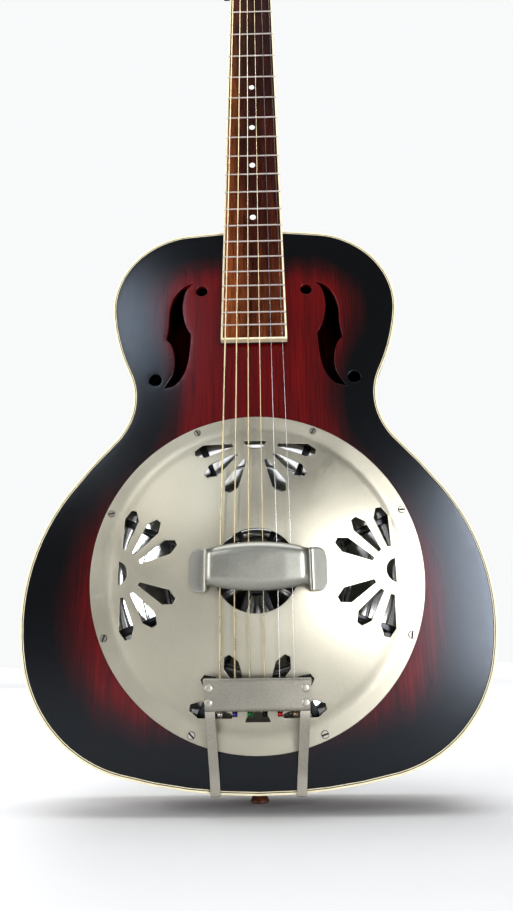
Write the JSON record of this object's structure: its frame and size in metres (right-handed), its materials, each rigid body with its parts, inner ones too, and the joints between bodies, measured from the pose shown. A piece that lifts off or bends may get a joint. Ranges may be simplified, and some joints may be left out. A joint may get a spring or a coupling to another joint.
{
  "type": "resonator guitar",
  "caption": "Wooden-bodied resonator guitar with a round neck, f-holes, slotted metal cover plate, hand rest, strap tailpiece and open-gear tuners.",
  "frame": {"origin": "centre line of the neck at the nut, level with the soundboard face, between the prongs of the hanger that holds the guitar by its headstock", "axes": "+X from the bass side to the treble side, +Y from the front to the back, +Z along the neck towards the headstock"},
  "size_m": [0.3626, 0.126, 0.9675],
  "materials": {
    "top_burst": "satin sunburst lacquer over grain",
    "body_burst": "satin dark stain over grain",
    "inner_wood": "bare sawn",
    "neck_wood": "satin dark stain",
    "headstock_face": "satin",
    "fretboard_wood": "oiled",
    "saddle_wood": "oiled",
    "strap_button_wood": "satin",
    "binding_cream": "scraped satin",
    "bone": "polished",
    "black_cover": "gloss",
    "pearl": "pearl",
    "satin_nickel": "aged satin plate",
    "tuner_nickel": "plated",
    "rod_steel": "plain",
    "fret_metal": "polished",
    "cone_aluminium": "spun bright",
    "spider_cast": "as cast",
    "gear_brass": "aged",
    "string_bronze": "wound",
    "string_steel": "drawn"
  },
  "bodies": {
    "guitar": {"soundboard": "top_burst", "back_plate": "body_burst", "side_rim": "body_burst", "top_binding": "binding_cream", "back_binding": "binding_cream", "top_lining": "inner_wood", "back_lining": "inner_wood", "neck_block": "inner_wood", "tail_block": "inner_wood", "sound_well": "inner_wood", "neck": "neck_wood", "headstock_overlay": "headstock_face", "truss_rod": "rod_steel", "truss_rod_cover": "black_cover", "fretboard": "fretboard_wood", "fretboard_binding": "binding_cream", "nut": "bone", "resonator_cone": "cone_aluminium", "spider_bridge": "spider_cast", "saddle_bass": "saddle_wood", "saddle_treble": "saddle_wood", "spider_screw": "rod_steel", "cover_plate": "satin_nickel", "palm_rest": "satin_nickel", "tailpiece_plate": "satin_nickel", "tailpiece_strap_bass": "satin_nickel", "tailpiece_strap_treble": "satin_nickel", "strap_button": "strap_button_wood", "tuner_plate_bass": "tuner_nickel", "tuner_plate_treble": "tuner_nickel", "string_1": "string_steel", "string_2": "string_steel", "string_3": "string_bronze", "string_4": "string_bronze", "string_5": "string_bronze", "string_6": "string_bronze"},
    "key_1": {"worm_shaft_1": "tuner_nickel", "tuner_button_1": "tuner_nickel"},
    "post_1": {"tuner_post_1": "tuner_nickel", "tuner_gear_1": "gear_brass"},
    "key_2": {"worm_shaft_2": "tuner_nickel", "tuner_button_2": "tuner_nickel"},
    "post_2": {"tuner_post_2": "tuner_nickel", "tuner_gear_2": "gear_brass"},
    "key_3": {"worm_shaft_3": "tuner_nickel", "tuner_button_3": "tuner_nickel"},
    "post_3": {"tuner_post_3": "tuner_nickel", "tuner_gear_3": "gear_brass"},
    "key_4": {"worm_shaft_4": "tuner_nickel", "tuner_button_4": "tuner_nickel"},
    "post_4": {"tuner_post_4": "tuner_nickel", "tuner_gear_4": "gear_brass"},
    "key_5": {"worm_shaft_5": "tuner_nickel", "tuner_button_5": "tuner_nickel"},
    "post_5": {"tuner_post_5": "tuner_nickel", "tuner_gear_5": "gear_brass"},
    "key_6": {"worm_shaft_6": "tuner_nickel", "tuner_button_6": "tuner_nickel"},
    "post_6": {"tuner_post_6": "tuner_nickel", "tuner_gear_6": "gear_brass"}
  },
  "joints": [
    {"name": "key_turn_1", "type": "hinge", "parent": "guitar", "child": "key_1", "pos_m": [0.022, 0.04069, 0.05013], "axis": [1, 0, 0], "continuous": true},
    {"name": "post_turn_1", "type": "hinge", "parent": "guitar", "child": "post_1", "pos_m": [0.022, 0.0385, 0.04223], "axis": [0, -0.9636, 0.2672], "continuous": true},
    {"name": "key_turn_2", "type": "hinge", "parent": "guitar", "child": "key_2", "pos_m": [0.022, 0.05085, 0.08675], "axis": [1, 0, 0], "continuous": true},
    {"name": "post_turn_2", "type": "hinge", "parent": "guitar", "child": "post_2", "pos_m": [0.022, 0.04866, 0.07885], "axis": [0, -0.9636, 0.2672], "continuous": true},
    {"name": "key_turn_3", "type": "hinge", "parent": "guitar", "child": "key_3", "pos_m": [0.022, 0.061, 0.12337], "axis": [1, 0, 0], "continuous": true},
    {"name": "post_turn_3", "type": "hinge", "parent": "guitar", "child": "post_3", "pos_m": [0.022, 0.05881, 0.11547], "axis": [0, -0.9636, 0.2672], "continuous": true},
    {"name": "key_turn_4", "type": "hinge", "parent": "guitar", "child": "key_4", "pos_m": [-0.022, 0.061, 0.12337], "axis": [1, 0, 0], "continuous": true},
    {"name": "post_turn_4", "type": "hinge", "parent": "guitar", "child": "post_4", "pos_m": [-0.022, 0.05881, 0.11547], "axis": [0, -0.9636, 0.2672], "continuous": true},
    {"name": "key_turn_5", "type": "hinge", "parent": "guitar", "child": "key_5", "pos_m": [-0.022, 0.05085, 0.08675], "axis": [1, 0, 0], "continuous": true},
    {"name": "post_turn_5", "type": "hinge", "parent": "guitar", "child": "post_5", "pos_m": [-0.022, 0.04866, 0.07885], "axis": [0, -0.9636, 0.2672], "continuous": true},
    {"name": "key_turn_6", "type": "hinge", "parent": "guitar", "child": "key_6", "pos_m": [-0.022, 0.04069, 0.05013], "axis": [1, 0, 0], "continuous": true},
    {"name": "post_turn_6", "type": "hinge", "parent": "guitar", "child": "post_6", "pos_m": [-0.022, 0.0385, 0.04223], "axis": [0, -0.9636, 0.2672], "continuous": true}
  ],
  "couplings": [
    {"joint": "post_turn_1", "follows": "key_turn_1", "ratio": 0.071429},
    {"joint": "post_turn_2", "follows": "key_turn_2", "ratio": 0.071429},
    {"joint": "post_turn_3", "follows": "key_turn_3", "ratio": 0.071429},
    {"joint": "post_turn_4", "follows": "key_turn_4", "ratio": 0.071429},
    {"joint": "post_turn_5", "follows": "key_turn_5", "ratio": 0.071429},
    {"joint": "post_turn_6", "follows": "key_turn_6", "ratio": 0.071429}
  ]
}
